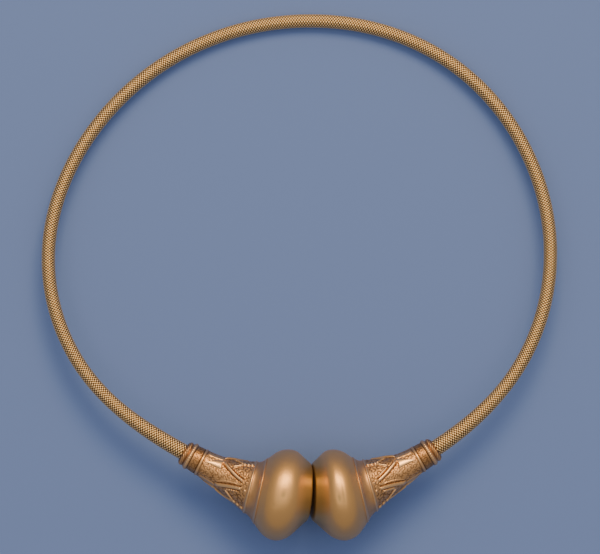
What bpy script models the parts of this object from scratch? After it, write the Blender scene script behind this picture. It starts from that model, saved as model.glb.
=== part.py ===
"""Gold torc: a woven tubular hoop held by two collars, two relief cones and two buffer bulbs.

The mid-line of the torc lies in the torc's own plane, with x across, y away from the buffers
and z off the plane. Each solid is a row of rings set on that line and skinned. The finished
torc lies down: its plane leans a little, because the bulbs are fatter than the hoop.
"""
import math

import bmesh
import bpy
import numpy as np
from mathutils import Matrix, Vector

# Driving dimensions, in metres unless a name says degrees
HOOP_REACH = 0.0926            # from the middle of the neck opening to the hoop's mid-line
HOOP_RADIUS = 0.00272
HOOP_END_RADIUS = 0.0033
HOOP_SWELL_LENGTH = 0.045      # stretch over which the hoop thickens towards each collar
# The hoop is bent by hand: its reach at each hour from four o'clock to eight o'clock, the long
# way round past twelve, as a share of HOOP_REACH
HOUR_SHARES = (0.983, 1.001, 1.001, 0.996, 0.985, 1.003, 1.048, 1.093, 1.051)
HOUR_DEGREES = 30.0

BULB_RADIUS = 0.0176
BULB_CROWN_RADIUS = 0.0083     # roundness of the rim, seen in profile
BULB_FRONT_DEGREES = 42.0      # slope of the flank that runs to the face
BULB_BACK_DEGREES = 47.0       # slope of the flank that runs to the seam
FACE_RADIUS = 0.0107
FACE_EDGE = 0.0005             # soft edge round the face
FACE_LEAN_DEGREES = 1.5        # both faces lean together, seen from above
FACE_TILT_DEGREES = 7.5        # both faces also lean together upwards, their tops to the right
FACE_OPENING_DEGREES = 1.8     # each face also turns away from its fellow on the outer side
SEAM_RADIUS = 0.0128

BAND_LENGTH = 0.0043           # plain hollow band between the seam and the mouth ring
MOUTH_RADIUS = 0.0101
RELIEF_LENGTH = 0.0210
NECK_RADIUS = 0.0053
SLEEVE_LENGTH = 0.0036
SLEEVE_RADIUS = 0.0050
TRUMPET_POWER = 1.75           # how late the cone widens on its way from neck to mouth
RING_HEIGHT = 0.00035
RING_WIDTH = 0.0009

COLLAR_LENGTH = 0.0040
COLLAR_RADIUS = 0.0058
COLLAR_TAPER = 0.0012          # the lobe beside the hoop is smaller than the lobe beside the sleeve
COLLAR_LOBES = 2
COLLAR_LOBE_HEIGHT = 0.0007

# The line runs this far outside HOOP_REACH at each bulb's rim, and this far inside it at the
# faces, at the cone's mouth and at the hoop's end; the two terminals aren't quite alike
FACE_DRAWS_IN = 0.0012
BULB_STANDS_OUT = 0.0006
MOUTH_DRAWS_IN = {"right": 0.0009, "left": 0.0002}
NECK_DRAWS_IN = {"right": 0.0037, "left": 0.0023}

# Relief on the cones: the same field comes three times round
FIELD_COUNT = 3
FIELD_TURN_DEGREES = {"right": 9.5, "left": 4.5}   # first field's middle, from the top outwards
RIDGE_HEIGHT = 0.00055
RIDGE_WIDTH = 0.0012
RIDGE_START = 0.36             # shares of RELIEF_LENGTH, from the neck ring to the mouth ring
RIDGE_END = 0.95
RIDGE_WIDE_DEGREES = 50.0      # half the angle between a field's two ridges, at each end
RIDGE_NARROW_DEGREES = 9.0
BORDER_HEIGHT = 0.00040
BORDER_WIDTH = 0.0010
BORDER_START = 0.58            # two borders start here, meet between two fields and go on as one
BORDER_MEET = 0.76
BORDER_DEGREES = 43.0          # from the field's middle, where they start
LEAF_HEIGHT = 0.00060
LEAF_START = 0.10
LEAF_END = 0.42

TOUCH_GAP = 0.0003             # between pieces that meet
BULB_FLAT = 0.00015            # depth of the small flat that each bulb rests on
HOOP_FLAT = 0.00010            # depth of the flat under the far side of the hoop

# How finely the rings are drawn
HOOP_SIDES = 12
HOOP_STEPS = 76
BULB_SIDES = 32
CROWN_STEPS = 6
FLANK_STEPS = 2
COLLAR_SIDES = 24
LOBE_STEPS = 4
RELIEF_STEPS = 15
BAND_STEPS = 3
LINE_SAMPLES = 2881


# Places along each terminal, measured on the mid-line from the plane between the two faces
front_slope = math.radians(BULB_FRONT_DEGREES)
back_slope = math.radians(BULB_BACK_DEGREES)


def flank_length(slope, end_radius):
    """From the rim to the end of a flank: the crown's arc, then a straight slope."""
    arc_end_radius = BULB_RADIUS - BULB_CROWN_RADIUS * (1 - math.cos(slope))
    return BULB_CROWN_RADIUS * math.sin(slope) + (arc_end_radius - end_radius) / math.tan(slope)


AT_FACE = TOUCH_GAP / 2
AT_RIM = AT_FACE + flank_length(front_slope, FACE_RADIUS)
AT_SEAM = AT_RIM + flank_length(back_slope, SEAM_RADIUS)
AT_CONE = AT_SEAM + TOUCH_GAP
AT_MOUTH = AT_CONE + BAND_LENGTH
AT_NECK = AT_MOUTH + RELIEF_LENGTH
AT_SLEEVE_END = AT_NECK + SLEEVE_LENGTH
AT_HOOP = AT_SLEEVE_END + TOUCH_GAP


def closed_curve(angles, values, at):
    """A smooth closed curve through values at the given angles: a periodic cubic spline."""
    count = len(angles)
    spans = np.diff(np.append(angles, angles[0] + 2 * math.pi))
    system = np.zeros((count, count))
    bends = np.zeros(count)
    for i in range(count):
        before = (i - 1) % count
        after = (i + 1) % count
        system[i, before] += spans[before] / 6
        system[i, i] += (spans[before] + spans[i]) / 3
        system[i, after] += spans[i] / 6
        bends[i] = (values[after] - values[i]) / spans[i] - (values[i] - values[before]) / spans[before]
    second = np.linalg.solve(system, bends)
    place = np.searchsorted(angles, at, side="right") - 1
    following = (place + 1) % count
    b = (at - angles[place]) / spans[place]
    a = 1 - b
    bend = (a**3 - a) * second[place] + (b**3 - b) * second[following]
    return a * values[place] + b * values[following] + bend * spans[place] ** 2 / 6


def make_line():
    """The torc's mid-line from the faces round to the faces: distances, points and directions."""
    terminals = {}
    for name in ("right", "left"):
        terminals[name] = [(AT_RIM / HOOP_REACH, HOOP_REACH + BULB_STANDS_OUT),
                           (AT_MOUTH / HOOP_REACH, HOOP_REACH - MOUTH_DRAWS_IN[name]),
                           (AT_HOOP / HOOP_REACH, HOOP_REACH - NECK_DRAWS_IN[name])]
    hours = []
    for i, share in enumerate(HOUR_SHARES):
        hours.append((math.radians(HOUR_DEGREES * (i + 2)), HOOP_REACH * share))
    mirrored = [(2 * math.pi - angle, reach) for angle, reach in reversed(terminals["left"])]
    stations = [(0.0, HOOP_REACH - FACE_DRAWS_IN)] + terminals["right"] + hours + mirrored
    angles, reaches = np.array(stations).T
    turn = np.linspace(0, 2 * math.pi, LINE_SAMPLES)
    reach = closed_curve(angles, reaches, np.minimum(turn, 2 * math.pi - 1e-9))
    points = np.column_stack([reach * np.sin(turn), -reach * np.cos(turn)])
    steps = np.hypot(*np.diff(points, axis=0).T)
    distance = np.insert(np.cumsum(steps), 0, 0.0)
    slopes = np.gradient(points, distance, axis=0)
    direction = np.unwrap(np.arctan2(slopes[:, 1], slopes[:, 0]))
    return distance, points, direction


line_distance, line_points, line_direction = make_line()
LINE_LENGTH = line_distance[-1]


def on_line(distance):
    """Point and direction of the mid-line at a distance, anticlockwise from the faces."""
    x = np.interp(distance, line_distance, line_points[:, 0])
    y = np.interp(distance, line_distance, line_points[:, 1])
    return x, y, np.interp(distance, line_distance, line_direction)


def terminal_points(along, radius, turn, side):
    """Points of a terminal: along from the faces, radius and turn about the line.

    Turn is zero on the upper side and grows outwards. The rings lean in proportion to their
    distance, from square at the faces to square with the hoop at its end. side is 1 for the
    right terminal and -1 for the left one, which is its mirror image.
    """
    along, radius, turn = np.broadcast_arrays(along, radius, turn)
    distance = along if side > 0 else LINE_LENGTH - along
    x, y = on_line(distance)[:2]
    end_direction = on_line(AT_HOOP if side > 0 else LINE_LENGTH - AT_HOOP)[2]
    end_lean = end_direction if side > 0 else 2 * math.pi - end_direction
    lean = end_lean * along / AT_HOOP
    outwards = radius * np.sin(turn)
    front = np.clip(1 - along / AT_RIM, 0, 1)
    opening = math.tan(math.radians(FACE_OPENING_DEGREES))
    shared = math.tan(math.radians(FACE_LEAN_DEGREES))
    tilt = math.tan(math.radians(FACE_TILT_DEGREES))
    upwards = radius * np.cos(turn)
    shift = front * (opening * (outwards + FACE_RADIUS) + side * (tilt * upwards - shared * outwards))
    x = x + side * (np.sin(lean) * outwards + np.cos(lean) * shift)
    y = y - np.cos(lean) * outwards + np.sin(lean) * shift
    return np.stack([x, y, upwards], axis=-1)


def hoop_points(distance, radius, turn):
    """Points of the hoop: distance on the line, radius, and turn from the upper side outwards."""
    x, y, direction = on_line(distance)
    outwards = radius * np.sin(turn)
    x = x + np.sin(direction) * outwards
    y = y - np.cos(direction) * outwards
    return np.stack([x, y, np.broadcast_to(radius * np.cos(turn), x.shape)], axis=-1)


def skin(name, rings, ends):
    """Mesh over a row of rings: ends is 'capped' for a rod, or 'joined' for a hoop of rings."""
    rows, sides = rings.shape[:2]
    mesh = bpy.data.meshes.new(name)
    faces = []
    last = rows if ends == "joined" else rows - 1
    for row in range(last):
        for side in range(sides):
            after = (side + 1) % sides
            upper = (row + 1) % rows
            faces.append((row * sides + side, row * sides + after,
                          upper * sides + after, upper * sides + side))
    if ends == "capped":
        faces.append(tuple(range(sides)))
        faces.append(tuple((rows - 1) * sides + side for side in range(sides)))
    mesh.from_pydata(rings.reshape(-1, 3).tolist(), [], faces)
    model = bmesh.new()
    model.from_mesh(mesh)
    bmesh.ops.recalc_face_normals(model, faces=model.faces)
    model.to_mesh(mesh)
    model.free()
    return mesh


def ease(share):
    """Smooth step from nought to one."""
    share = np.clip(share, 0, 1)
    return share * share * (3 - 2 * share)


def hoop_radius(distance):
    """Even along the hoop, swelling smoothly towards each collar."""
    from_end = np.minimum(distance, LINE_LENGTH - distance) - AT_HOOP
    return HOOP_END_RADIUS - (HOOP_END_RADIUS - HOOP_RADIUS) * ease(from_end / HOOP_SWELL_LENGTH)


def hoop_rings():
    """A round tube from collar to collar."""
    distance = np.linspace(AT_HOOP, LINE_LENGTH - AT_HOOP, HOOP_STEPS + 1)[:, None]
    turn = np.arange(HOOP_SIDES) * 2 * math.pi / HOOP_SIDES
    return hoop_points(distance + 0 * turn, hoop_radius(distance), turn)


def bulb_profile():
    """Half profile of a bulb from face to seam: soft edge, flank, round rim, flank."""
    rows = [(AT_FACE, FACE_RADIUS - FACE_EDGE)]
    arc_front = BULB_RADIUS - BULB_CROWN_RADIUS * (1 - math.cos(front_slope))
    arc_back = BULB_RADIUS - BULB_CROWN_RADIUS * (1 - math.cos(back_slope))
    front_end = AT_RIM - BULB_CROWN_RADIUS * math.sin(front_slope)
    back_end = AT_RIM + BULB_CROWN_RADIUS * math.sin(back_slope)
    edge_start = FACE_EDGE * math.cos(front_slope)
    edge_radius = FACE_RADIUS + edge_start * math.tan(front_slope)
    for share in np.linspace(0, 1, FLANK_STEPS + 1)[:-1]:
        along = AT_FACE + edge_start + (front_end - AT_FACE - edge_start) * share
        rows.append((along, edge_radius + (arc_front - edge_radius) * share))
    for slope in np.linspace(-front_slope, back_slope, CROWN_STEPS + 1):
        along = AT_RIM + BULB_CROWN_RADIUS * math.sin(slope)
        rows.append((along, BULB_RADIUS - BULB_CROWN_RADIUS * (1 - math.cos(slope))))
    for share in np.linspace(0, 1, FLANK_STEPS + 1)[1:]:
        rows.append((back_end + (AT_SEAM - back_end) * share, arc_back + (SEAM_RADIUS - arc_back) * share))
    return np.array(rows)


def bulb_rings(side):
    """The bulb's profile turned about the line."""
    along, radius = bulb_profile().T
    turn = np.arange(BULB_SIDES) * 2 * math.pi / BULB_SIDES
    return terminal_points(along[:, None], radius[:, None], turn, side)


def collar_rings(side):
    """A ring moulding: round lobes on a slight taper outside, and a bore that clears the hoop inside."""
    bore = HOOP_END_RADIUS + TOUCH_GAP
    share = np.linspace(0, 1, COLLAR_LOBES * LOBE_STEPS + 1)
    lobes = COLLAR_RADIUS - COLLAR_LOBE_HEIGHT * (1 - np.abs(np.sin(math.pi * COLLAR_LOBES * share)))
    lobes = lobes - COLLAR_TAPER * share
    along = AT_HOOP + COLLAR_LENGTH * np.append(share, [1, 0])
    radius = np.append(lobes, [bore, bore])
    turn = np.arange(COLLAR_SIDES) * 2 * math.pi / COLLAR_SIDES
    return terminal_points(along[:, None], radius[:, None], turn, side)


def cone_radius(along):
    """Ground of the cone: hollow band, trumpet that widens from neck to mouth, and sleeve."""
    band = np.clip((AT_MOUTH - along) / BAND_LENGTH, 0, 1)
    trumpet = np.clip((AT_NECK - along) / RELIEF_LENGTH, 0, 1)
    sleeve = np.clip((along - AT_NECK) / SLEEVE_LENGTH, 0, 1)
    radius = NECK_RADIUS + (MOUTH_RADIUS - NECK_RADIUS) * trumpet**TRUMPET_POWER
    radius = radius + (SEAM_RADIUS - MOUTH_RADIUS) * band**1.6
    return radius - (NECK_RADIUS - SLEEVE_RADIUS) * sleeve


def ring_height(along):
    """Three fine rings round the cone: at the seam, at the mouth and at the neck."""
    height = np.zeros_like(along)
    for middle in (AT_CONE + RING_WIDTH / 2, AT_MOUTH, AT_NECK):
        reach = np.clip(2 * (along - middle) / RING_WIDTH, -1, 1)
        height = np.maximum(height, RING_HEIGHT * (1 - reach**2))
    return height


def field_columns(share, radius):
    """Angles and heights across one relief field at a share of the relief's length.

    A field has a middle ground, a leaf boss beside it near the neck, and two round ridges that
    run together towards the mouth. The borders outside them meet those of the next field.
    """
    run = np.clip((share - RIDGE_START) / (RIDGE_END - RIDGE_START), 0, 1)
    ridge = RIDGE_NARROW_DEGREES + (RIDGE_WIDE_DEGREES - RIDGE_NARROW_DEGREES) * (1 - run) ** 2
    ridge_reach = math.degrees(RIDGE_WIDTH / 2 / radius)
    border_reach = math.degrees(BORDER_WIDTH / 2 / radius)
    inner = ridge - ridge_reach
    outer = ridge + ridge_reach
    half_field = 180.0 / FIELD_COUNT
    room = half_field - outer
    border_reach = min(border_reach, 0.3 * room)
    met = ease((share - BORDER_START) / (BORDER_MEET - BORDER_START))
    farthest = half_field - 1.1 * border_reach
    start = max(BORDER_DEGREES, outer + 1.1 * border_reach)
    border = min(start + (farthest - start) * met, farthest)
    leaf_run = np.clip((share - LEAF_START) / (LEAF_END - LEAF_START), 0, 1)
    leaf = inner * (0.30 + 0.30 * leaf_run)
    leaf_reach = inner * (0.08 + 0.12 * ease(1.6 * leaf_run))
    ridge_height = RIDGE_HEIGHT * ease((share - RIDGE_START) * 12) * ease((RIDGE_END - share) * 12)
    border_height = BORDER_HEIGHT * ease((share - BORDER_START) * 12) * ease((1 - share) * 25)
    joint_height = border_height * met
    border_height = border_height * (1 - 0.8 * met)
    leaf_height = LEAF_HEIGHT * ease(leaf_run * 3) * ease((LEAF_END - share) * 20 + 0.4)
    columns = [(-half_field, joint_height),
               (-border - border_reach, 0.0), (-border, border_height), (-border + border_reach, 0.0),
               (-outer, 0.0), (-ridge, ridge_height), (-inner, 0.0),
               (-leaf - leaf_reach, 0.0), (-leaf, leaf_height), (-leaf + leaf_reach, 0.0),
               (0.0, 0.0), (inner * 0.5, 0.0),
               (inner, 0.0), (ridge, ridge_height), (outer, 0.0),
               (border - border_reach, 0.0), (border, border_height), (border + border_reach, 0.0)]
    return np.array(columns)


def cone_rings(side):
    """Rings of the cone, their points following the relief's own lines."""
    half = RING_WIDTH / 2
    end_rows = [AT_CONE, AT_CONE + half, AT_CONE + RING_WIDTH]
    band_rows = np.linspace(AT_CONE + RING_WIDTH, AT_MOUTH - half, BAND_STEPS + 1)[1:-1]
    mouth_rows = [AT_MOUTH - half, AT_MOUTH, AT_MOUTH + half]
    relief_rows = np.linspace(AT_MOUTH + half, AT_NECK - half, RELIEF_STEPS + 1)[1:-1]
    neck_rows = [AT_NECK - half, AT_NECK, AT_NECK + half]
    along = np.concatenate([end_rows, band_rows, mouth_rows, relief_rows, neck_rows, [AT_SLEEVE_END]])
    ground = cone_radius(along)
    rings = ring_height(along)
    rows = []
    for distance, radius, ring in zip(along, ground, rings):
        share = min(max((AT_NECK - distance) / RELIEF_LENGTH, 0), 1)
        columns = field_columns(share, radius)
        turns = []
        heights = []
        for field in range(FIELD_COUNT):
            middle = FIELD_TURN_DEGREES["right" if side > 0 else "left"] + field * 360.0 / FIELD_COUNT
            turns.extend(np.radians(columns[:, 0] + middle))
            heights.extend(columns[:, 1])
        height = np.maximum(np.array(heights), ring)
        rows.append(terminal_points(distance, radius + height, np.array(turns), side))
    return np.array(rows)


# Each terminal and the hoop, as rows of rings in the torc's own plane
SIDES = {"left": -1, "right": 1}
hoop_grid = hoop_rings()
bulb_grids = {name: bulb_rings(side) for name, side in SIDES.items()}
collar_grids = {name: collar_rings(side) for name, side in SIDES.items()}
cone_grids = {name: cone_rings(side) for name, side in SIDES.items()}

# How the torc lies: on both bulbs and on the far side of the hoop
far_end = hoop_grid[..., 1].max() - HOOP_RADIUS
bulb_middle = -(HOOP_REACH + BULB_STANDS_OUT)
rise = (BULB_RADIUS - BULB_FLAT) - (HOOP_RADIUS - HOOP_FLAT)
LEAN = math.asin(rise / (far_end - bulb_middle))
lean_matrix = Matrix.Rotation(-LEAN, 4, "X")
bulb_height = BULB_RADIUS - BULB_FLAT + math.sin(LEAN) * bulb_middle

every_point = np.vstack([grid.reshape(-1, 3) for grid in
                         [hoop_grid, *bulb_grids.values(), *cone_grids.values()]])
lying_points = every_point @ np.array(lean_matrix.to_3x3()).T
middle_x = (lying_points[:, 0].min() + lying_points[:, 0].max()) / 2
middle_y = (lying_points[:, 1].min() + lying_points[:, 1].max()) / 2

# The scene starts empty
for thing in list(bpy.data.objects):
    bpy.data.objects.remove(thing)

lying = bpy.data.objects.new("torc_lying", None)
lying.location = (-middle_x, -middle_y, bulb_height)
lying.rotation_euler = (-LEAN, 0, 0)
bpy.context.scene.collection.objects.link(lying)
bpy.context.view_layer.update()


def gold(name, colour, roughness):
    """A plain gold: base colour as linear red, green and blue."""
    material = bpy.data.materials.new(name)
    material.use_nodes = True
    shader = material.node_tree.nodes["Principled BSDF"]
    shader.inputs["Base Color"].default_value = (*colour, 1.0)
    shader.inputs["Metallic"].default_value = 1.0
    shader.inputs["Roughness"].default_value = roughness
    material.diffuse_color = (*colour, 1.0)
    return material


def add_piece(name, mesh, material, rests=False):
    """Put a piece into the lying torc; one that rests is cut flat where it meets the ground."""
    if rests:
        ground = lying.matrix_world.inverted()
        model = bmesh.new()
        model.from_mesh(mesh)
        cut = bmesh.ops.bisect_plane(
            model, geom=model.verts[:] + model.edges[:] + model.faces[:], dist=1e-7,
            plane_co=ground @ Vector((0, 0, 0)), plane_no=ground.to_3x3() @ Vector((0, 0, 1)),
            clear_inner=True)
        rim = [item for item in cut["geom_cut"] if isinstance(item, bmesh.types.BMEdge)]
        bmesh.ops.holes_fill(model, edges=rim, sides=0)
        bmesh.ops.recalc_face_normals(model, faces=model.faces)
        model.to_mesh(mesh)
        model.free()
    mesh.shade_smooth()
    mesh.set_sharp_from_angle(angle=math.radians(40))
    mesh.materials.append(material)
    piece = bpy.data.objects.new(name, mesh)
    bpy.context.scene.collection.objects.link(piece)
    piece.parent = lying
    return piece


woven_gold = gold("woven_gold", (0.72, 0.45, 0.14), 0.35)
red_gold = gold("red_gold", (0.68, 0.36, 0.14), 0.38)
yellow_gold = gold("yellow_gold", (0.62, 0.40, 0.13), 0.30)

add_piece("hoop", skin("hoop", hoop_grid, "capped"), woven_gold, rests=True)
for name in SIDES:
    add_piece(f"collar_{name}", skin(f"collar_{name}", collar_grids[name], "joined"), red_gold)
    add_piece(f"cone_{name}", skin(f"cone_{name}", cone_grids[name], "capped"), red_gold)
    add_piece(f"buffer_{name}", skin(f"buffer_{name}", bulb_grids[name], "capped"), yellow_gold, rests=True)
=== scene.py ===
import math

import bpy
import numpy as np
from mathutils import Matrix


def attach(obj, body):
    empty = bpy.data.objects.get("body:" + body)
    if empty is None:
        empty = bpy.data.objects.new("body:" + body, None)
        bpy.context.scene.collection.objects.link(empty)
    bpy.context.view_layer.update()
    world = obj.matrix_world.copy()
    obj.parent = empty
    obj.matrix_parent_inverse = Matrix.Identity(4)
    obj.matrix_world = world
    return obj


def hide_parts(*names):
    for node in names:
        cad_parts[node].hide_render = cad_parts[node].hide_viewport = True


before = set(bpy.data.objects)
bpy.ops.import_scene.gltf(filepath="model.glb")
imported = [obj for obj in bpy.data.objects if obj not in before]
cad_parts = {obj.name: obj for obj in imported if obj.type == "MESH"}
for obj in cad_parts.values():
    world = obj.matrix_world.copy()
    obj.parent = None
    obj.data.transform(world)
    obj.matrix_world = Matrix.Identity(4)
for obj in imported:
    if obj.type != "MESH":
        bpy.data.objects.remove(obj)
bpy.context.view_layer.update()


# Studio: a plain pale paper sweep in a soft, dim room. The torc lies flat and the photograph looks
# straight down on it, with the main light beyond the far side of the hoop.
CAMERA_HEIGHT = 1.2
CAMERA_PLACE = (0.0002, -0.0006)
HOOP_HEIGHT = 0.008                # above the paper, about the middle of its range
METRES_PER_PIXEL = 0.00038685      # in the photograph, at the height of the hoop
PICTURE_WIDTH = 600
SENSOR_WIDTH = 36.0
PAPER_HALF_WIDTH = 3               # metres, so that its edge is out of every view
PAPER_COLOUR = "#6A88D3"
ROOM_COLOUR = "#DCD0C0"
ROOM_STRENGTH = 0.56


def linear(colour):
    """Linear red, green, blue and alpha of an sRGB hex colour."""
    values = [int(colour[i:i + 2], 16) / 255 for i in (1, 3, 5)]
    return [v / 12.92 if v <= 0.04045 else ((v + 0.055) / 1.055) ** 2.4 for v in values] + [1.0]


def new_material(name):
    """A material with an empty node tree."""
    material = bpy.data.materials.new(name)
    material.use_nodes = True
    material.node_tree.nodes.clear()
    return material


def add_node(material, kind, inputs=None, **settings):
    """A node of a kind: settings are its properties, inputs are values or the outputs that feed it."""
    made = material.node_tree.nodes.new(kind)
    for name, value in settings.items():
        setattr(made, name, value)
    for socket, value in (inputs or {}).items():
        if isinstance(value, bpy.types.NodeSocket):
            material.node_tree.links.new(value, made.inputs[socket])
        else:
            made.inputs[socket].default_value = value
    return made


# Matt paper: no gloss, and a grain too fine to show from here
paper = new_material("matt_paper")
paper_shader = add_node(paper, "ShaderNodeBsdfPrincipled",
                        {"Base Color": linear(PAPER_COLOUR), "Roughness": 0.95, "Specular IOR Level": 0.1})
add_node(paper, "ShaderNodeOutputMaterial", {"Surface": paper_shader.outputs[0]})

floor_mesh = bpy.data.meshes.new("floor")
half = PAPER_HALF_WIDTH
floor_corners = [(-half, -half, 0), (half, -half, 0), (half, half, 0), (-half, half, 0)]
floor_mesh.from_pydata(floor_corners, [], [(0, 1, 2, 3)])
floor_mesh.materials.append(paper)
floor = bpy.data.objects.new("floor", floor_mesh)
bpy.context.scene.collection.objects.link(floor)

room = bpy.data.worlds.new("room")
room.use_nodes = True
room.node_tree.nodes["Background"].inputs["Color"].default_value = linear(ROOM_COLOUR)
room.node_tree.nodes["Background"].inputs["Strength"].default_value = ROOM_STRENGTH
bpy.context.scene.world = room


def add_soft_box(name, place, size, watts, colour):
    """A flat soft box at a place, turned to face the middle of the floor."""
    data = bpy.data.lights.new(name, "AREA")
    data.shape = "RECTANGLE"
    data.size, data.size_y = size
    data.energy = watts
    data.color = linear(colour)[:3]
    lamp = bpy.data.objects.new(name, data)
    bpy.context.scene.collection.objects.link(lamp)
    x, y, z = place
    lamp.location = place
    lamp.rotation_euler = (math.acos(z / math.hypot(x, y, z)), 0, math.atan2(-y, -x) - math.pi / 2)


add_soft_box("far_soft_box", place=(0.14, 1.00, 1.20), size=(0.86, 0.66), watts=20.5, colour="#FFD396")
add_soft_box("overhead_soft_box", place=(0.0, 0.4, 2.2), size=(3.6, 3.2), watts=23.0, colour="#FFE9CC")

camera_data = bpy.data.cameras.new("camera")
camera_data.sensor_width = SENSOR_WIDTH
camera_data.lens = (CAMERA_HEIGHT - HOOP_HEIGHT) / METRES_PER_PIXEL * SENSOR_WIDTH / PICTURE_WIDTH
camera_data.clip_end = 20
camera = bpy.data.objects.new("camera", camera_data)
camera.location = (*CAMERA_PLACE, CAMERA_HEIGHT)
bpy.context.scene.collection.objects.link(camera)
bpy.context.scene.camera = camera


# Hoop: one long hollow tube of gold, bent round the neck. Two families of ten fine strands wind
# round it, one to the left and one to the right, and cross over and under like basketwork.
HOOP_REACH = 0.0926              # from the torc's middle to the tube's mid-line, before it is bent
HOOP_RADIUS = 0.00272
HOOP_END_RADIUS = 0.0033
HOOP_SWELL_LENGTH = 0.045
# It is bent by hand: the share of the reach at each hour, two to ten, anticlockwise from the faces
FIRST_HOUR = 2
HOUR_DEGREES = 30.0
HOUR_SHARES = (0.983, 1.001, 1.001, 0.996, 0.985, 1.003, 1.048, 1.093, 1.051)
# How far the line leaves the reach at the faces, the bulbs' rims, the mouths and the hoop's ends
FACE_DRAWS_IN = 0.0012
BULB_STANDS_OUT = 0.0006
MOUTH_DRAWS_IN = {"right": 0.0009, "left": 0.0002}
NECK_DRAWS_IN = {"right": 0.0037, "left": 0.0023}
# What stands before the hoop on each terminal's line: a bulb, a cone with its sleeve, and the gaps
JOINT_GAP = 0.0003
HALF_GAP = JOINT_GAP / 2
FACE_RADIUS = 0.0107
BULB_RADIUS = 0.0176
BULB_CROWN_RADIUS = 0.0083       # of the round of its rim
BULB_FRONT_SLOPE = math.radians(42.0)
BULB_BACK_SLOPE = math.radians(47.0)
SEAM_RADIUS = 0.0128
BAND_LENGTH = 0.0043
RELIEF_LENGTH = 0.0210
SLEEVE_LENGTH = 0.0036
# How the torc lies: its plane leans, because the bulbs are fatter than the hoop
LEAN = math.radians(4.61262)
LYING_AT = (0.0042337, 0.0080125, 0.0099550)

LINE_STEPS = 2880
STRANDS = 10                     # in each family
TURNS_PER_METRE = 95.0           # a strand goes once round in 10.5 mm, so pits are about 1 mm apart
STRAND_SAMPLES = 3               # points across a strand
STRAND_DEPTH = 0.00058           # from a strand's crest to the pit between strands
CREST_ABOVE = 0.00005            # crests stand this far above the hoop's measured radius


def flank_length(slope, end_radius):
    """From a bulb's rim to the end of a flank: the rim's arc, then a straight slope."""
    arc_end_radius = BULB_RADIUS - BULB_CROWN_RADIUS * (1 - math.cos(slope))
    return BULB_CROWN_RADIUS * math.sin(slope) + (arc_end_radius - end_radius) / math.tan(slope)


# Places along each terminal, from the plane between the two faces
AT_FACE = HALF_GAP
AT_RIM = AT_FACE + flank_length(BULB_FRONT_SLOPE, FACE_RADIUS)
AT_SEAM = AT_RIM + flank_length(BULB_BACK_SLOPE, SEAM_RADIUS)
AT_CONE = AT_SEAM + JOINT_GAP
AT_MOUTH = AT_CONE + BAND_LENGTH
AT_NECK = AT_MOUTH + RELIEF_LENGTH
AT_SLEEVE_END = AT_NECK + SLEEVE_LENGTH
AT_HOOP = AT_SLEEVE_END + JOINT_GAP


def closed_curve(angles, values, at):
    """A smooth closed curve through values at the given angles: a periodic cubic spline."""
    count = len(angles)
    spans = np.diff(np.append(angles, angles[0] + 2 * math.pi))
    system = np.zeros((count, count))
    bends = np.zeros(count)
    for i in range(count):
        before = (i - 1) % count
        after = (i + 1) % count
        system[i, before] += spans[before] / 6
        system[i, i] += (spans[before] + spans[i]) / 3
        system[i, after] += spans[i] / 6
        bends[i] = (values[after] - values[i]) / spans[i] - (values[i] - values[before]) / spans[before]
    second = np.linalg.solve(system, bends)
    place = np.searchsorted(angles, at, side="right") - 1
    following = (place + 1) % count
    b = (at - angles[place]) / spans[place]
    a = 1 - b
    bend = (a**3 - a) * second[place] + (b**3 - b) * second[following]
    return a * values[place] + b * values[following] + bend * spans[place] ** 2 / 6


def make_line():
    """The torc's mid-line from the faces round to the faces: distances, points and directions.

    Its reach from the middle is a closed curve through the terminals' stations and the hours.
    """
    terminals = {}
    for name in ("right", "left"):
        terminals[name] = [(AT_RIM / HOOP_REACH, HOOP_REACH + BULB_STANDS_OUT),
                           (AT_MOUTH / HOOP_REACH, HOOP_REACH - MOUTH_DRAWS_IN[name]),
                           (AT_HOOP / HOOP_REACH, HOOP_REACH - NECK_DRAWS_IN[name])]
    hours = [(math.radians(HOUR_DEGREES * (FIRST_HOUR + i)), HOOP_REACH * share)
             for i, share in enumerate(HOUR_SHARES)]
    mirrored = [(2 * math.pi - angle, reach) for angle, reach in reversed(terminals["left"])]
    stations = [(0.0, HOOP_REACH - FACE_DRAWS_IN)] + terminals["right"] + hours + mirrored
    angles, reaches = np.array(stations).T
    turn = np.linspace(0, 2 * math.pi, LINE_STEPS + 1)
    reach = closed_curve(angles, reaches, turn % (2 * math.pi))
    points = np.column_stack([reach * np.sin(turn), -reach * np.cos(turn)])
    steps = np.hypot(*np.diff(points, axis=0).T)
    distance = np.insert(np.cumsum(steps), 0, 0.0)
    slopes = np.gradient(points, distance, axis=0)
    direction = np.unwrap(np.arctan2(slopes[:, 1], slopes[:, 0]))
    return distance, points, direction


line_distance, line_points, line_direction = make_line()
LINE_LENGTH = line_distance[-1]


def on_line(distance):
    """Point and direction of the mid-line at a distance, anticlockwise from the faces."""
    x = np.interp(distance, line_distance, line_points[:, 0])
    y = np.interp(distance, line_distance, line_points[:, 1])
    return x, y, np.interp(distance, line_distance, line_direction)


def lie_down(points):
    """Points of the torc's own plane as it lies: leant about the x axis, set down, and not below ground."""
    x, y, z = np.moveaxis(points, -1, 0)
    cosine = math.cos(LEAN)
    sine = math.sin(LEAN)
    lying_y = cosine * y + sine * z + LYING_AT[1]
    lying_z = -sine * y + cosine * z + LYING_AT[2]
    return np.stack([x + LYING_AT[0], lying_y, np.maximum(lying_z, 0.0)], axis=-1)


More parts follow.
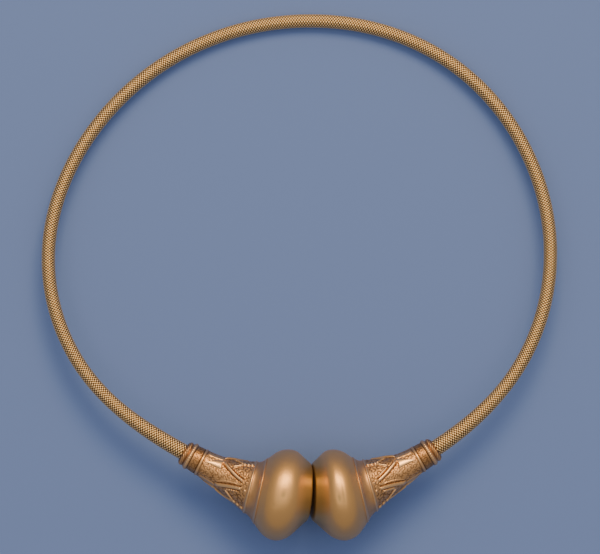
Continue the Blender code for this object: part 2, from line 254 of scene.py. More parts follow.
def hoop_points(distance, radius, turn):
    """Points of the hoop: distance on the line, radius, and turn from the upper side outwards."""
    x, y, direction = on_line(distance)
    outwards = radius * np.sin(turn)
    x = x + np.sin(direction) * outwards
    y = y - np.cos(direction) * outwards
    return lie_down(np.stack([x, y, np.broadcast_to(radius * np.cos(turn), x.shape)], axis=-1))


def ease(share):
    """Smooth step from nought to one."""
    share = np.clip(share, 0, 1)
    return share * share * (3 - 2 * share)


def hoop_radius(distance):
    """Even along the hoop, swelling smoothly towards each collar."""
    from_end = np.minimum(distance, LINE_LENGTH - distance) - AT_HOOP
    return HOOP_END_RADIUS - (HOOP_END_RADIUS - HOOP_RADIUS) * ease(from_end / HOOP_SWELL_LENGTH)


def weave(left, right):
    """Height of the basketwork from nought in a pit to one on a crest, by the two strand counts.

    Each family is a row of half rounds. The height is mostly their product, which peaks where two
    strands cross and is nought along every edge. A little of the higher one of the two keeps the
    strands joined, and a little of the product with its sign lifts every other crossing.
    """
    left_wave = np.sin(math.pi * left)
    right_wave = np.sin(math.pi * right)
    joined = np.maximum(np.abs(left_wave), np.abs(right_wave)) ** 0.7
    crossing = np.abs(left_wave * right_wave) ** 0.9
    return 0.16 * joined + 0.78 * crossing + 0.06 * left_wave * right_wave


def make_mesh(name, points, faces, wear_and_painted_light):
    """Closed mesh from points and rows of face corners, wound so that its volume is positive.

    Faces is a list of index arrays, one for each number of corners. Wear and painted light are kept
    as a point attribute that the material reads: one where hands rub or a highlight is painted, nought or
    less in a hollow painted dark as shade.
    """
    first, second, third = (points[faces[0][:, i]] for i in (0, 1, 2))
    last = points[faces[0][:, -1]]
    volume = (first * np.cross(second, third)).sum() + (first * np.cross(third, last)).sum()
    if volume < 0:
        faces = [rows[:, ::-1] for rows in faces]
    mesh = bpy.data.meshes.new(name)
    mesh.vertices.add(len(points))
    mesh.vertices.foreach_set("co", points.astype(np.float32).ravel())
    corners = np.concatenate([rows.ravel() for rows in faces])
    sizes = np.concatenate([np.full(len(rows), rows.shape[1]) for rows in faces])
    mesh.loops.add(len(corners))
    mesh.loops.foreach_set("vertex_index", corners.astype(np.int32))
    mesh.polygons.add(len(sizes))
    starts = np.concatenate([[0], np.cumsum(sizes)[:-1]])
    mesh.polygons.foreach_set("loop_start", starts.astype(np.int32))
    mesh.update(calc_edges=True)
    mesh.attributes.new("wear_and_painted_light", "FLOAT", "POINT").data.foreach_set("value", wear_and_painted_light.astype(np.float32))
    mesh.shade_smooth()
    mesh.validate()
    return mesh


def add_piece(name, mesh, material, node):
    """Link a finished mesh as a piece that rides on the torc and stands for one CAD node."""
    mesh.materials.append(material)
    piece = bpy.data.objects.new(name, mesh)
    bpy.context.scene.collection.objects.link(piece)
    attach(piece, "root")
    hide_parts(node)


def hoop_mesh():
    """The tube as a net that follows the strands, so that every pit and crest has its own points.

    Points stand in rings, each turned on from the last one, so that columns run beside the left
    strands. Faces are diamonds with two sides along the left strands and two along the right ones.
    Triangles fill the half diamonds of the first and last ring, and a fan closes each end.
    """
    columns = STRANDS * STRAND_SAMPLES
    length = LINE_LENGTH - 2 * AT_HOOP
    last = round(length * 2 * STRANDS * TURNS_PER_METRE * STRAND_SAMPLES)
    column = np.arange(columns)
    row = np.arange(last + 1)[:, None]
    along = row * length / last
    turn = 2 * math.pi * (column / columns + TURNS_PER_METRE * along)
    height = weave(column / STRAND_SAMPLES, (column + row) / STRAND_SAMPLES)
    distance = AT_HOOP + along
    radius = hoop_radius(distance) + CREST_ABOVE - STRAND_DEPTH * (1 - height)
    points = hoop_points(distance, radius, turn).reshape(-1, 3)
    middles = lie_down(np.array([[*on_line(end)[:2], 0.0] for end in (AT_HOOP, LINE_LENGTH - AT_HOOP)]))

    after = (column + 1) % columns
    ring = np.arange(1, last) * columns
    diamonds = [ring + column[:, None], ring + columns + column[:, None],
                ring + after[:, None], ring - columns + after[:, None]]
    end = last * columns
    first_middle, last_middle = np.broadcast_to([[end + columns], [end + columns + 1]], (2, columns))
    halves = [np.column_stack([column, columns + column, after]),
              np.column_stack([end + column, end + after, end - columns + after])]
    fans = [np.column_stack([column, after, first_middle]),
            np.column_stack([end + after, end + column, last_middle])]
    triangles = np.concatenate([np.stack(halves, axis=1), np.stack(fans, axis=1)])
    faces = [np.stack(diamonds, axis=-1).reshape(-1, 4), triangles.reshape(-1, 3)]
    return make_mesh("hoop_woven", np.vstack([points, middles]), faces, np.append(height, [0, 0]))


# Woven gold: soft yellow gold wire, its colour painted dark in the pits as shade and pale on the crests as
# a highlight
woven = new_material("woven_gold_wire")
hoop_painted_light = add_node(woven, "ShaderNodeAttribute", attribute_name="wear_and_painted_light")
hoop_colour = add_node(woven, "ShaderNodeValToRGB", {"Fac": hoop_painted_light.outputs["Fac"]})
# Painted shade: the pits are coloured near black. Painted highlight: the crests are coloured near white.
hoop_colour.color_ramp.elements[0].position = 0.26
hoop_colour.color_ramp.elements[0].color = linear("#281708")
hoop_colour.color_ramp.elements[1].position = 0.80
hoop_colour.color_ramp.elements[1].color = linear("#FFEEC6")
hoop_colour.color_ramp.elements.new(0.45).color = linear("#EEC68C")
woven_shader = add_node(woven, "ShaderNodeBsdfPrincipled",
                        {"Base Color": hoop_colour.outputs["Color"], "Metallic": 1.0, "Roughness": 0.50})
add_node(woven, "ShaderNodeOutputMaterial", {"Surface": woven_shader.outputs[0]})

add_piece("hoop_woven", hoop_mesh(), woven, "hoop")


# Collars: a turned ring moulding where the hoop enters each terminal, soldered on. Its lobe beside
# the sleeve is a beaded wire. The lobe beside the hoop is smaller and duller, with slanting notches.
SIDES = {"left": -1, "right": 1}
FACE_OPENING_DEGREES = 1.8       # the faces open outwards
FACE_LEAN_DEGREES = 1.5          # both faces lean together, seen from above
FACE_TILT_DEGREES = 7.5          # both faces also lean together upwards, their tops to the right

COLLAR_LENGTH = 0.0040
COLLAR_RADIUS = 0.0058
COLLAR_TAPER = 0.0012
COLLAR_LOBE_HEIGHT = 0.0007
COLLAR_BORE = HOOP_END_RADIUS + 0.00005
BORE_ENDS = np.array([[0.97], [0.03]])   # shares of the collar's length, a little inside its ends
COLLAR_ROWS = 41
COLLAR_SIDES = 240
BEADS_ROUND = 34
BEAD_CUT = 0.00016
BEADS_START = 0.3                # radians of the beads' cosine at the top
NOTCHES_ROUND = 22
NOTCH_CUT = 0.00034
NOTCH_SLANT = 12                 # radians of the notches' cosine from end to end
HOLLOW_PAINTED_SHADE = 0.16               # painted shade at the foot of the lobes
LOBE_PAINTED_HIGHLIGHT = 0.84                 # and how much paler a lobe is painted, as a highlight
LOBE_DULLS_BY = 0.55             # from the sleeve to the hoop
SHADE_PER_CUT = 1800              # painted shade: how much darker for each metre of cut


def terminal_points(along, radius, turn, side):
    """Points of a terminal: along from the faces, radius and turn about the line.

    Turn is zero on the upper side and grows outwards. The rings lean in proportion to their
    distance, from square at the faces to square with the hoop at its end. Before the rim they also
    lean as the faces do. side is 1 for the right terminal and -1 for the left, its mirror image.
    """
    along, radius, turn = np.broadcast_arrays(along, radius, turn)
    x, y, unused = on_line(along if side > 0 else LINE_LENGTH - along)
    end_direction = on_line(AT_HOOP if side > 0 else LINE_LENGTH - AT_HOOP)[2]
    end_lean = end_direction if side > 0 else 2 * math.pi - end_direction
    lean = end_lean * along / AT_HOOP
    outwards = radius * np.sin(turn)
    upwards = radius * np.cos(turn)
    front = np.clip(1 - along / AT_RIM, 0, 1)
    opening = math.tan(math.radians(FACE_OPENING_DEGREES))
    shared = math.tan(math.radians(FACE_LEAN_DEGREES))
    tilt = math.tan(math.radians(FACE_TILT_DEGREES))
    shift = front * (opening * (outwards + FACE_RADIUS) + side * (tilt * upwards - shared * outwards))
    x = x + side * (np.sin(lean) * outwards + np.cos(lean) * shift)
    y = y - np.cos(lean) * outwards + np.sin(lean) * shift
    return lie_down(np.stack([x, y, upwards], axis=-1))


def ring_faces(rows, sides, joined=False):
    """Corners of the quads between rings of points; joined closes the last ring to the first."""
    row = np.arange(rows if joined else rows - 1)[:, None]
    side = np.arange(sides)
    upper = (row + 1) % rows * sides
    after = (side + 1) % sides
    corners = [row * sides + side, row * sides + after, upper + after, upper + side]
    return np.stack([np.broadcast_to(c, (len(row), sides)) for c in corners], axis=-1).reshape(-1, 4)


def collar_mesh(name, side):
    """A closed ring that tapers to the hoop: two lobes, each half a wave of a sine, and a bore.

    Beads and notches are cut where a cosine round the collar comes near nought, and the notches'
    cosine also turns with the length.
    """
    share = np.linspace(0, 1, COLLAR_ROWS)[:, None]
    turn = np.linspace(0, 2 * math.pi, COLLAR_SIDES, endpoint=False)
    lobe = np.abs(np.sin(2 * math.pi * share))
    beads = np.abs(np.cos(BEADS_ROUND / 2 * turn + BEADS_START)) ** 0.7
    notches = np.abs(np.cos(NOTCHES_ROUND / 2 * turn + NOTCH_SLANT * share)) ** 0.6
    cut = np.where(share < 0.5, BEAD_CUT * (1 - beads), NOTCH_CUT * (1 - notches)) * lobe
    outside = COLLAR_RADIUS - COLLAR_TAPER * share - COLLAR_LOBE_HEIGHT * (1 - lobe) - cut
    bore = np.full((2, COLLAR_SIDES), COLLAR_BORE)
    radius = np.vstack([outside, bore])
    along = AT_HOOP + np.vstack([share, BORE_ENDS]) * COLLAR_LENGTH
    points = terminal_points(along, radius, turn, side).reshape(-1, 3)
    # Painted light: the lobes are coloured paler as a highlight, the hollows and cuts darker as shade
    wear_and_painted_light = HOLLOW_PAINTED_SHADE + (LOBE_PAINTED_HIGHLIGHT - LOBE_DULLS_BY * share) * lobe - SHADE_PER_CUT * cut
    wear_and_painted_light = np.vstack([np.clip(wear_and_painted_light, 0, 1), 0 * bore]).ravel()
    faces = [ring_faces(*radius.shape, joined=True)]
    return make_mesh(f"collar_{name}_moulded", points, faces, wear_and_painted_light)


# Chased red gold: rather coppery gold sheet. Shade is painted dark into its hollows, its ground is satin
# with patches of tarnish, and its crests are burnished by touch, which makes them glossier, and painted
# paler as a highlight.
TARNISH_MM = 3.846               # size of a patch
red_gold = new_material("chased_red_gold")
red_wear_and_painted_light = add_node(red_gold, "ShaderNodeAttribute", attribute_name="wear_and_painted_light")
red_place = add_node(red_gold, "ShaderNodeTexCoord")
tarnish = add_node(red_gold, "ShaderNodeTexNoise",
                   {"Vector": red_place.outputs["Object"], "Scale": 1000 / TARNISH_MM, "Detail": 3.0})
uneven = add_node(red_gold, "ShaderNodeMath",
                  {0: tarnish.outputs["Fac"], 1: 0.30, 2: -0.15}, operation="MULTIPLY_ADD")
red_level = add_node(red_gold, "ShaderNodeMath",
                     {0: red_wear_and_painted_light.outputs["Fac"], 1: uneven.outputs[0]}, operation="ADD")
red_colour = add_node(red_gold, "ShaderNodeValToRGB", {"Fac": red_level.outputs[0]})
# Painted shade: the dark low end colours engraving and hollows. Painted highlight: the pale high end
# colours crests.
red_colour.color_ramp.elements[0].position = 0.05
red_colour.color_ramp.elements[0].color = linear("#6A4828")
red_colour.color_ramp.elements[1].position = 0.9
red_colour.color_ramp.elements[1].color = linear("#E8C296")
red_colour.color_ramp.elements.new(0.45).color = linear("#D0A67B")
red_polish = add_node(red_gold, "ShaderNodeMapRange",
                      {"Value": red_wear_and_painted_light.outputs["Fac"], "From Min": 0.45, "From Max": 1.0,
                       "To Min": 0.42, "To Max": 0.30})
red_shader = add_node(red_gold, "ShaderNodeBsdfPrincipled",
                      {"Base Color": red_colour.outputs["Color"], "Metallic": 1.0,
                       "Roughness": red_polish.outputs["Result"]})
add_node(red_gold, "ShaderNodeOutputMaterial", {"Surface": red_shader.outputs[0]})

for name, side in SIDES.items():
    add_piece(f"collar_{name}_moulded", collar_mesh(name, side), red_gold, f"collar_{name}")


# Cones: trumpets of sheet gold, raised and chased from both sides, with a plain hollow band to the
# bulb and a sleeve to the collar. The same field of ornament comes three times round: two ridges
# that run together to the mouth, a leaf at the neck, beads between, and engraved curls on the ground.
MOUTH_RADIUS = 0.0101
NECK_RADIUS = 0.0053
SLEEVE_RADIUS = 0.0050
TRUMPET_POWER = 1.75             # how late the trumpet opens, from neck to mouth
BAND_POWER = 1.9                 # how late the band opens, from mouth to seam
CONE_ROWS = 276
CONE_SIDES = 342
FIELD = 2 * math.pi / 3          # the turn that one field of ornament takes
FIELD_TURN_DEGREES = {"left": 4.5, "right": 9.5}


def cone_radius(along):
    """Ground of the cone: hollow band, trumpet that widens from neck to mouth, and sleeve."""
    band = np.clip((AT_MOUTH - along) / BAND_LENGTH, 0, 1)
    trumpet = np.clip((AT_NECK - along) / RELIEF_LENGTH, 0, 1)
    sleeve = np.clip((along - AT_NECK) / SLEEVE_LENGTH, 0, 1)
    radius = NECK_RADIUS + (MOUTH_RADIUS - NECK_RADIUS) * trumpet**TRUMPET_POWER
    radius = radius + (SEAM_RADIUS - MOUTH_RADIUS) * band**BAND_POWER
    return radius - (NECK_RADIUS - SLEEVE_RADIUS) * sleeve


def wire(away, half_width):
    """Half round section of a raised line, from one on its middle to nought at its edge."""
    return np.sqrt(np.clip(1 - (away / half_width) ** 2, 0, 1))


def within(along, start, end, rise=0.0003, fall=0.0003):
    """One between two places and nought outside them, easing over a short length inside each end."""
    return ease((along - start) / rise) * ease((end - along) / fall)


def at_share(share):
    """Place of a share of the relief's length, from the neck towards the mouth."""
    return AT_NECK - RELIEF_LENGTH * share


def nearest_on(line, along, turn, radius):
    """Distance from each point to a drawn line, and how far along the line the nearest place is.

    The line is a row of (along, turn) corners. The surface near a point is taken as flat, with
    arcs measured at that point's own radius.
    """
    away = np.full(along.shape, np.inf)
    reached = np.zeros(along.shape)
    start = 0.0
    for (from_along, from_turn), (to_along, to_turn) in zip(line[:-1], line[1:]):
        across = (turn - from_turn) * radius
        run_along = to_along - from_along
        run_across = (to_turn - from_turn) * radius
        length = np.hypot(run_along, run_across)
        share = np.clip(((along - from_along) * run_along + across * run_across) / length**2, 0, 1)
        gap = np.hypot(along - from_along - share * run_along, across - share * run_across)
        nearer = gap < away
        away = np.where(nearer, gap, away)
        reached = np.where(nearer, start + share * length, reached)
        start += math.hypot(run_along, (to_turn - from_turn) * cone_radius(np.float64(from_along)))
    return away, reached


def smooth_row(corners, count):
    """Parabola through three (share of the relief, degrees) corners, as a row of (along, turn) points."""
    shares, degrees = np.array(corners, float).T
    at = np.linspace(0, 1, count)
    knots = np.linspace(0, 1, len(shares))
    weights = np.array([[math.prod((a - other) / (knot - other) for other in knots if other != knot)
                         for knot in knots] for a in at])
    return np.column_stack([at_share(weights @ shares), np.radians(weights @ degrees)])


# Ridges: places are shares of the relief's length, from the neck
RIDGE_FROM = 0.36
RIDGE_FADES_AT = 0.87
RIDGE_TO = 0.95                  # where they would be closest, past their faded ends
RIDGE_DRAWN = (0.34, 0.86)       # the stretch that its line is drawn for
RIDGE_STEPS = 30
RIDGE_CLOSED_DEGREES = 9.0       # half the angle between the two lines there
RIDGE_OPENING_DEGREES = 41.0     # and how much wider it is at the neck end
RIDGE_HEIGHT = 0.00066
RIDGE_HALF_WIDTH = 0.00060
GROOVE_AWAY = 0.00084
GROOVE_HALF_WIDTH = 0.00017
GROOVE_DEPTH = 0.00016
# A row of small beads follows each ridge on the left cone, and a lower ridge on the right one
FOLLOWER_FROM = 0.58
FOLLOWER_TO = 0.82
FOLLOWER_AWAY = 0.00145
FOLLOWER_HALF_WIDTH = 0.00046
FOLLOWER_HEIGHT = {"left": 0.00034, "right": 0.00040}
SMALL_BEAD_PITCH = 0.00105


def ridge_degrees(share):
    """Half the angle between a field's two ridges: wide at the neck end, closing as a square."""
    run = np.clip((share - RIDGE_FROM) / (RIDGE_TO - RIDGE_FROM), 0, 1)
    return RIDGE_CLOSED_DEGREES + RIDGE_OPENING_DEGREES * (1 - run) ** 2


def ridge_relief(along, across, radius, side_name):
    """Heights of the ridges with what follows them, the depth of their grooves, and where is outside."""
    share = (AT_NECK - along) / RELIEF_LENGTH
    shares = np.linspace(*RIDGE_DRAWN, RIDGE_STEPS)
    ridge_line = np.column_stack([at_share(shares), np.radians(ridge_degrees(shares))])
    away, reached = nearest_on(ridge_line, along, across, radius)
    ends = within(share, RIDGE_FROM, RIDGE_FADES_AT, rise=1 / 14, fall=1 / 20)
    height = RIDGE_HEIGHT * wire(away, RIDGE_HALF_WIDTH) ** 0.6 * ends
    groove = GROOVE_DEPTH * np.exp(-((away - GROOVE_AWAY) / GROOVE_HALF_WIDTH) ** 2) * ends
    outside = across > np.radians(ridge_degrees(share))
    beside = np.abs(away - FOLLOWER_AWAY)
    if side_name == "left":
        from_bead = (reached / SMALL_BEAD_PITCH % 1 - 0.5) * SMALL_BEAD_PITCH
        beside = np.hypot(beside, from_bead)
    follows = outside * within(share, FOLLOWER_FROM, FOLLOWER_TO, rise=1 / 30, fall=1 / 30)
    follower = FOLLOWER_HEIGHT[side_name] * wire(beside, FOLLOWER_HALF_WIDTH) * follows
    return np.maximum(height, follower), groove, outside


# Bars and large beads: corners are (share of the relief, degrees from between two fields)
BAR_CORNERS = [(0.60, 17), (0.66, 12), (0.74, 4)]
BAR_HEIGHT = 0.00042
BAR_HALF_WIDTH = 0.00042
BEAD_SHARES = (0.785, 0.86, 0.935)
BEAD_HEIGHT = 0.00064
BEAD_RADIUS = 0.00078


def bead_relief(along, between, radius):
    """Bars from both fields that meet in a row of three large beads."""
    away, unused = nearest_on(smooth_row(BAR_CORNERS, 8), along, np.abs(between), radius)
    height = BAR_HEIGHT * wire(away, BAR_HALF_WIDTH)
    for share in BEAD_SHARES:
        away = np.hypot(along - at_share(share), between * radius)
        height = np.maximum(height, BEAD_HEIGHT * wire(away, BEAD_RADIUS))
    return height


# Leaf and thin line: corners are (share of the relief, degrees from the field's middle)
LEAF_CORNERS = [(0.06, -13), (0.20, -24), (0.36, -33)]
LEAF_LENGTH = 0.0072
LEAF_TIP_HALF_WIDTH = 0.00015
LEAF_WIDENS = 0.00190
LEAF_TIP_HEIGHT = 0.00040
LEAF_RISES = 0.00028
LEAF_ENDS_AT = 0.385
LEAF_END_CURVE = 0.03
LEAF_END_FALL = 1 / 40
THIN_LINE_CORNERS = [(0.40, 30), (0.56, 12), (0.74, 4)]
THIN_LINE_HEIGHT = 0.00022
THIN_LINE_HALF_WIDTH = 0.00026
KNOB_SHARE = 0.925
KNOB_DEGREES = 10
KNOB_HEIGHT = 0.00028
KNOB_RADIUS = 0.00045


def leaf_relief(along, inside, radius):
    """A leaf that widens and rises from its tip at the neck, and ends in a hollow curve."""
    share = (AT_NECK - along) / RELIEF_LENGTH
    away, reached = nearest_on(smooth_row(LEAF_CORNERS, 14), along, inside, radius)
    run = np.clip(reached / LEAF_LENGTH, 0, 1)
    half_width = LEAF_TIP_HALF_WIDTH + LEAF_WIDENS * run**1.1
    ends_at = LEAF_ENDS_AT + LEAF_END_CURVE * np.clip(away / half_width, 0, 1) ** 2
    end = ease((ends_at - share) / LEAF_END_FALL)
    return (LEAF_TIP_HEIGHT + LEAF_RISES * run) * wire(away, half_width) ** 0.5 * end


def line_relief(along, inside, radius):
    """A thin line from one ridge towards the mouth, and a knob that closes each ridge."""
    away, unused = nearest_on(smooth_row(THIN_LINE_CORNERS, 14), along, inside, radius)
    height = THIN_LINE_HEIGHT * wire(away, THIN_LINE_HALF_WIDTH)
    across = np.abs(inside) - math.radians(KNOB_DEGREES)
    away = np.hypot(along - at_share(KNOB_SHARE), across * radius)
    return np.maximum(height, KNOB_HEIGHT * wire(away, KNOB_RADIUS))


# Pod: corners are (share of the relief, degrees from between two fields)
POD_CORNERS = [(0.10, 2), (0.22, 0), (0.33, -3)]
POD_LENGTH = 0.006
POD_HEIGHT = 0.00020
POD_HALF_WIDTH = 0.00080
POD_WIDENS = 0.04                # for each metre of its length


def pod_relief(along, between, radius):
    """A low, narrow pod between two fields at the neck, widening towards its end."""
    away, reached = nearest_on(smooth_row(POD_CORNERS, 10), along, between, radius)
    half_width = POD_HALF_WIDTH + POD_WIDENS * np.clip(reached, 0, POD_LENGTH)
    return POD_HEIGHT * wire(away, half_width) ** 0.4


# Engraved curls: fine between the ridges and on the sleeve, broader outside the ridges
CURL_PITCH = 0.00160
CURL_DEPTH = 0.00010
CURL_SEED = 7
BROAD_CURL_PITCH = 0.00185
BROAD_CURL_DEPTH = 0.00012
BROAD_CURL_SEED = 11
BROAD_CURLS_FROM = 0.5           # share of the relief's length
SLEEVE_CURL_SHARE = 0.6          # the sleeve is cut less deeply
CURL_RADIUS = 0.36               # shares of the pitch
CURL_HALF_LINE = 0.12
CURL_HALF_OPENING = 0.6          # radians
# The relief and the engraving keep off the rings
RELIEF_ENDS = (AT_MOUTH + 0.0003, AT_NECK - 0.0003)
GROUND_ENDS = (AT_MOUTH + 0.0008, AT_NECK - 0.0006)
SLEEVE_ENDS = (AT_NECK + 0.0006, AT_SLEEVE_END - 0.0002)
ENGRAVED_BELOW = 0.00012         # the engraving fades out where the relief rises to this height


def scattered(u, v, pitch, seed, mark):
    """Marks on a jittered grid: the strongest of mark(x, y, angle) over the nine nearest cells.

    u and v are distances on the surface. Each cell holds one mark with its own place and angle.
    """
    cells = 64
    chance = np.random.default_rng(seed).random((cells, cells, 3))
    cell_u = np.floor(u / pitch).astype(int)
    cell_v = np.floor(v / pitch).astype(int)
    strongest = np.zeros(u.shape)
    for step_u in (-1, 0, 1):
        for step_v in (-1, 0, 1):
            pick = chance[(cell_u + step_u) % cells, (cell_v + step_v) % cells]
            x = u / pitch - (cell_u + step_u + 0.3 + 0.4 * pick[..., 0])
            y = v / pitch - (cell_v + step_v + 0.3 + 0.4 * pick[..., 1])
            strongest = np.maximum(strongest, mark(x, y, 2 * math.pi * pick[..., 2]))
    return strongest


def curl(x, y, opens):
    """A small open ring, like a letter C turned any way, with a soft edge, in shares of the pitch."""
    away = np.hypot(x, y)
    angle = np.abs((np.arctan2(y, x) - opens + math.pi) % (2 * math.pi) - math.pi)
    ring = np.exp(-((away - CURL_RADIUS) / CURL_HALF_LINE) ** 2)
    return ring * ease((angle - CURL_HALF_OPENING) / CURL_HALF_OPENING)


def cone_relief(along, turn, radius, side_name):
    """Height of the ornament over one cone: the highest of the raised forms, less what is engraved."""
    turn = turn - math.radians(FIELD_TURN_DEGREES[side_name])
    inside = (turn + FIELD / 2) % FIELD - FIELD / 2      # from this field's middle
    between = inside % FIELD - FIELD / 2                 # from the middle between two fields
    height, groove, outside = ridge_relief(along, np.abs(inside), radius, side_name)
    for other in (bead_relief(along, between, radius), leaf_relief(along, inside, radius),
                  pod_relief(along, between, radius), line_relief(along, inside, radius)):
        height = np.maximum(height, other)

    curls = CURL_DEPTH * scattered(along, inside * radius, CURL_PITCH, CURL_SEED, curl)
    broad = BROAD_CURL_DEPTH * scattered(along, inside * radius, BROAD_CURL_PITCH, BROAD_CURL_SEED, curl)
    share = (AT_NECK - along) / RELIEF_LENGTH
    broad_share = outside * ease((share - BROAD_CURLS_FROM) * 12)
    engraved = curls * (1 - broad_share) + broad * broad_share + groove
    ground = np.clip(1 - height / ENGRAVED_BELOW, 0, 1)
    ground = ground * within(along, *GROUND_ENDS, rise=0.0004)
    sleeve = within(along, *SLEEVE_ENDS)
    height = height * within(along, *RELIEF_ENDS)
    return height - engraved * ground - SLEEVE_CURL_SHARE * curls * sleeve


# Rings: fine wires with flattened tops, soldered round the cone, with a groove along each side
RING_HEIGHT = 0.00028
RING_WIDTH = 0.00090
RINGS = ((AT_CONE + RING_WIDTH / 2, 0.9), (AT_MOUTH, 1.2), (AT_NECK, 0.8))   # place, share of the height
RING_GROOVE_AWAY = RING_WIDTH * 0.75
RING_GROOVE_DEPTH = 0.00012
RING_GROOVE_HALF_WIDTH = 0.00017


def rings_on(along):
    """Height of the three rings, at the seam, the mouth and the neck, less the grooves beside them."""
    height = np.zeros_like(along)
    for middle, share in RINGS:
        away = np.abs(along - middle)
        height = np.maximum(height, share * RING_HEIGHT * wire(away, RING_WIDTH / 2) ** 0.6)
        beside = (away - RING_GROOVE_AWAY) / RING_GROOVE_HALF_WIDTH
        height = height - share * RING_GROOVE_DEPTH * np.exp(-beside**2)
    return height


# Colour levels of the cones: the ground's, the duller sleeve's painted as shade, the height that makes a
# full painted highlight and the depth that makes a full painted shade
GROUND_LEVEL = 0.45
SLEEVE_PAINTED_SHADE = 0.29
SLEEVE_FROM = AT_NECK + 0.0004
HEIGHT_FOR_HIGHLIGHT = 0.0009
DEPTH_FOR_SHADE = 0.00036
END_WEAR = 0.4


def close_ends(points, sides, wear_and_painted_light, middles):
    """Points with a middle one added at each end, the fans of triangles to them, and their wear and painted
    light.
    """
    count = len(points)
    side = np.arange(sides)
    after = (side + 1) % sides
    first = np.column_stack([after, side, np.full(sides, count)])
    last = np.column_stack([count - sides + side, count - sides + after, np.full(sides, count + 1)])
    return np.vstack([points, middles]), np.vstack([first, last]), np.append(wear_and_painted_light, [END_WEAR, END_WEAR])


def cone_mesh(name, side):
    """The cone's ground turned about the line, with the rings and the ornament raised on it.

    It takes half of the gap at each end. The bulb takes the other half, so no slit shows at the seam.
    """
    along = np.linspace(AT_CONE - HALF_GAP, AT_SLEEVE_END + HALF_GAP, CONE_ROWS)[:, None]
    turn = np.linspace(0, 2 * math.pi, CONE_SIDES, endpoint=False)
    along, turn = np.broadcast_arrays(along, turn)
    ground = cone_radius(along)
    relief = cone_relief(along, turn, ground, name)
    rings = rings_on(along)
    raised = np.where(rings > 0, np.maximum(rings, relief), rings + relief)
    points = terminal_points(along, ground + raised, turn, side).reshape(-1, 3)
    # Painted light: the sleeve is coloured darker as shade, crests paler as a highlight, and engraving
    # darker as shade
    wear_and_painted_light = np.where(along > SLEEVE_FROM, SLEEVE_PAINTED_SHADE, GROUND_LEVEL)
    wear_and_painted_light = wear_and_painted_light + np.where(raised > 0, raised / HEIGHT_FOR_HIGHLIGHT, raised / DEPTH_FOR_SHADE)
    ends = [terminal_points(end, 0.0, 0.0, side) for end in (along[0, 0], along[-1, 0])]
    points, triangles, wear_and_painted_light = close_ends(points, CONE_SIDES, np.clip(wear_and_painted_light, 0, 1), ends)
    faces = [ring_faces(CONE_ROWS, CONE_SIDES), triangles]
    return make_mesh(f"cone_{name}_chased", points, faces, wear_and_painted_light)


for name, side in SIDES.items():
    add_piece(f"cone_{name}_chased", cone_mesh(name, side), red_gold, f"cone_{name}")


# Buffers: two plain hollow bulbs of yellower gold, beaten up from sheet and burnished, soldered to
# the cones at the seam. Their flat faces meet in the middle, and small dents mark their tops.
FACE_EDGE = 0.0005
FACE_MIDDLE_RADIUS = 0.001       # a fan closes the face within this radius
FACE_RINGS = 9
FLANK_RINGS = 22
CROWN_RINGS = 70
BULB_SIDES = 360
# Beating waves: how many go round, radians for each metre along, and a start that differs by side
WAVES = ((3, 400, 1), (5, -650, 2), (8, 900, 0))
WAVE_DEPTH = 0.00004
UNBEATEN_EDGE = 0.002            # round the face, where the marks fade in
HAMMER_DEPTH = 0.000012
HAMMER_PITCH = 0.0019
HAMMER_SEED = 5
HAMMER_MARK_RADIUS = 0.30        # share of the pitch
# Dents: distance from the faces, turn in degrees, half length along, half width round, depth
DENTS = {"left": [(0.0104, 1, 0.0009, 0.0016, 0.00016), (0.0135, 14, 0.0012, 0.0014, 0.00005)],
         "right": [(0.0106, 5, 0.0009, 0.0016, 0.00016), (0.0126, 1, 0.0005, 0.0034, 0.00010)]}
SHADE_PER_DENT = 5500             # painted shade: how much darker for each metre of a dent's depth
SHADED_FACE_EDGE = 0.0015           # round the face, where the bulbs meet, painted darker as shade
SHADE_FADE = 0.0045             # and the width over which that painted shade fades out


def bulb_profile():
    """Half profile of a bulb from face to seam: flat face, soft edge, flank, round rim, flank."""
    slope = np.linspace(-BULB_FRONT_SLOPE, BULB_BACK_SLOPE, CROWN_RINGS)
    crown = np.column_stack([AT_RIM + BULB_CROWN_RADIUS * np.sin(slope),
                             BULB_RADIUS - BULB_CROWN_RADIUS * (1 - np.cos(slope))])
    face = np.linspace([AT_FACE, FACE_MIDDLE_RADIUS], [AT_FACE, FACE_RADIUS - FACE_EDGE], FACE_RINGS)
    edge = (AT_FACE + FACE_EDGE * math.cos(BULB_FRONT_SLOPE),
            FACE_RADIUS + FACE_EDGE * math.sin(BULB_FRONT_SLOPE))
    front = np.linspace(edge, crown[0], FLANK_RINGS)[:-1]
    back = np.linspace(crown[-1], (AT_SEAM + HALF_GAP, SEAM_RADIUS), FLANK_RINGS)[1:]
    return np.vstack([face, front, crown, back])


def hammer_mark(x, y, unused):
    """A round mark of the hammer's face, in shares of the pitch."""
    return np.exp(-(np.hypot(x, y) / HAMMER_MARK_RADIUS) ** 2)


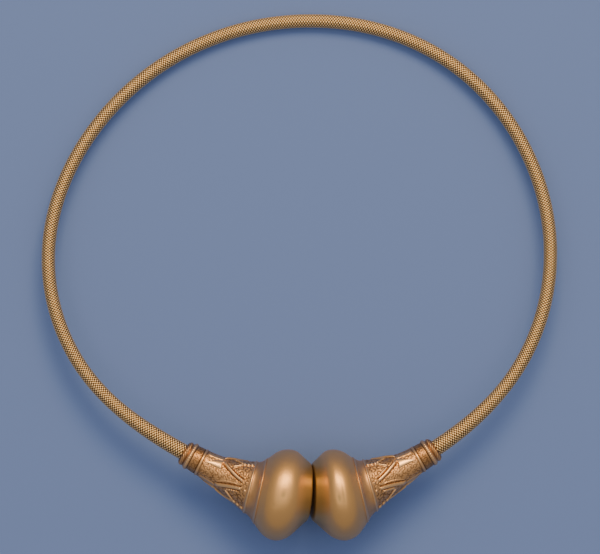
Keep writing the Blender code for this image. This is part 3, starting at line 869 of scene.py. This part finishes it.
def bulb_mesh(name, side):
    """The bulb's profile turned about the line, less beating marks and a few dents.

    The marks are three long sine waves across each other and a soft spot in each cell of a loose
    grid. Each dent is a bell curve. The colour is painted darker near the faces, where the bulbs meet, and
    in the dents, as shade.
    """
    along, radius = bulb_profile().T[..., None]
    turn = np.linspace(0, 2 * math.pi, BULB_SIDES, endpoint=False)
    waves = sum(np.sin(count * turn + rate * along + start * side) for count, rate, start in WAVES) / 3
    hammered = scattered(*np.broadcast_arrays(along, turn * radius), HAMMER_PITCH, HAMMER_SEED,
                         hammer_mark)
    off_face = ease((radius - FACE_RADIUS) / UNBEATEN_EDGE)
    beaten = off_face * (WAVE_DEPTH * (1 + waves) + HAMMER_DEPTH * hammered)
    dented = 0.0
    for at, degrees, half_length, half_width, depth in DENTS[name]:
        across = (turn - math.radians(degrees) + math.pi) % (2 * math.pi) - math.pi
        away = ((along - at) / half_length) ** 2 + (across * radius / half_width) ** 2
        dented = dented + depth * np.exp(-away)
    points = terminal_points(along, radius - beaten - dented, turn, side).reshape(-1, 3)
    # Painted shade: darker towards the faces, where the two bulbs meet, and in the dents
    out_of_painted_shade = ease((radius - FACE_RADIUS - SHADED_FACE_EDGE) / SHADE_FADE)
    out_of_painted_shade = np.where(along < AT_RIM, out_of_painted_shade, 1.0)
    wear_and_painted_light = np.clip(out_of_painted_shade - SHADE_PER_DENT * dented, -1, 1)
    ends = [terminal_points(end, 0.0, 0.0, side) for end in (AT_FACE, AT_SEAM + HALF_GAP)]
    points, triangles, wear_and_painted_light = close_ends(points, BULB_SIDES, wear_and_painted_light, ends)
    faces = [ring_faces(len(along), BULB_SIDES), triangles]
    return make_mesh(f"buffer_{name}_burnished", points, faces, wear_and_painted_light)


# Burnished yellow gold: satin from handling, with patches where the polish is a little uneven. A thin
# film dulls it, so it is not quite all metal, and its colour is painted brown as shade near the faces and
# in the dents.
POLISH_PATCH_MM = 7.143          # size of a patch
yellow = new_material("burnished_yellow_gold")
yellow_place = add_node(yellow, "ShaderNodeTexCoord")
patches = add_node(yellow, "ShaderNodeTexNoise",
                   {"Vector": yellow_place.outputs["Object"], "Scale": 1000 / POLISH_PATCH_MM,
                    "Detail": 4.0})
yellow_painted_shade = add_node(yellow, "ShaderNodeAttribute", attribute_name="wear_and_painted_light")
yellow_level = add_node(yellow, "ShaderNodeMath",
                        {0: patches.outputs["Fac"], 1: 0.5, 2: yellow_painted_shade.outputs["Fac"]},
                        operation="MULTIPLY_ADD")
yellow_colour = add_node(yellow, "ShaderNodeValToRGB", {"Fac": yellow_level.outputs[0]})
# Painted shade: the brown low end colours the edges near the faces and the dents
yellow_colour.color_ramp.elements[0].position = 0.0
yellow_colour.color_ramp.elements[0].color = linear("#523A20")
yellow_colour.color_ramp.elements[1].position = 1.0
yellow_colour.color_ramp.elements[1].color = linear("#DAB07A")
yellow_colour.color_ramp.elements.new(0.18).color = linear("#B59C6E")
yellow_polish = add_node(yellow, "ShaderNodeMapRange",
                         {"Value": patches.outputs["Fac"], "From Min": 0.3, "From Max": 0.7,
                          "To Min": 0.36, "To Max": 0.41})
yellow_shader = add_node(yellow, "ShaderNodeBsdfPrincipled",
                         {"Base Color": yellow_colour.outputs["Color"], "Metallic": 0.92,
                          "Roughness": yellow_polish.outputs["Result"]})
add_node(yellow, "ShaderNodeOutputMaterial", {"Surface": yellow_shader.outputs[0]})

for name, side in SIDES.items():
    add_piece(f"buffer_{name}_burnished", bulb_mesh(name, side), yellow, f"buffer_{name}")
